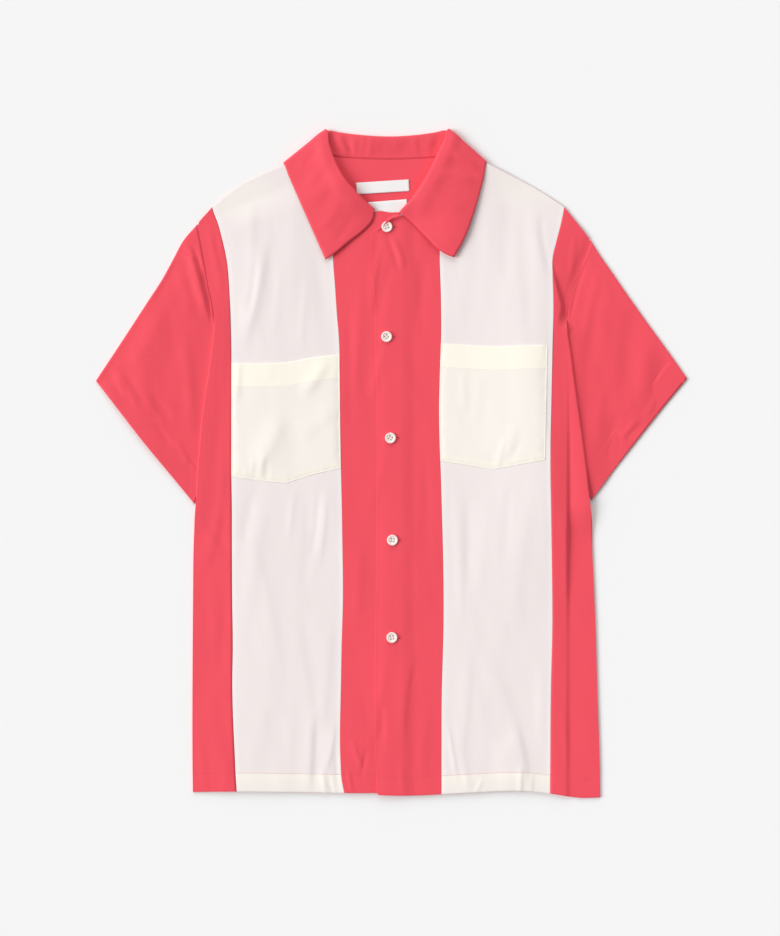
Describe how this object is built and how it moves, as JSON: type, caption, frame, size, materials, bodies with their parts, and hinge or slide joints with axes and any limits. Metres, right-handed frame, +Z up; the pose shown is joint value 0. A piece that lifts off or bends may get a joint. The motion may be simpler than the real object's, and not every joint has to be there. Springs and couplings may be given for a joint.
{
  "type": "bowling shirt laid flat",
  "caption": "Short-sleeved bowling shirt, buttoned and laid flat, with a spread collar, pale front stripes and patch pockets.",
  "frame": {"origin": "centre of the bounding box in plan, at the surface that the shirt lies on", "axes": "+Y from hem to collar, +X to the wearer's left, +Z up off the surface"},
  "size_m": [0.6382, 0.722, 0.0109],
  "materials": {
    "red_cloth": "soft matt viscose with a faint lustre",
    "pale_cloth": "soft matt viscose, slightly see-through",
    "cream_cloth": "soft matt viscose, doubled at the hem",
    "label_cloth": "smooth woven ribbon",
    "button_shell": "satin, pale pinkish white"
  },
  "bodies": {
    "root": {"back": "red_cloth", "front_right_side": "red_cloth", "front_right_stripe": "pale_cloth", "front_right_centre": "red_cloth", "front_left_side": "red_cloth", "front_left_stripe": "pale_cloth", "front_left_centre": "red_cloth", "sleeve_right": "red_cloth", "sleeve_left": "red_cloth", "collar": "red_cloth", "pocket_right": "cream_cloth", "pocket_left": "cream_cloth", "neck_label": "label_cloth", "size_label": "label_cloth", "button_1": "button_shell", "button_2": "button_shell", "button_3": "button_shell", "button_4": "button_shell", "button_5": "button_shell"}
  },
  "joints": []
}
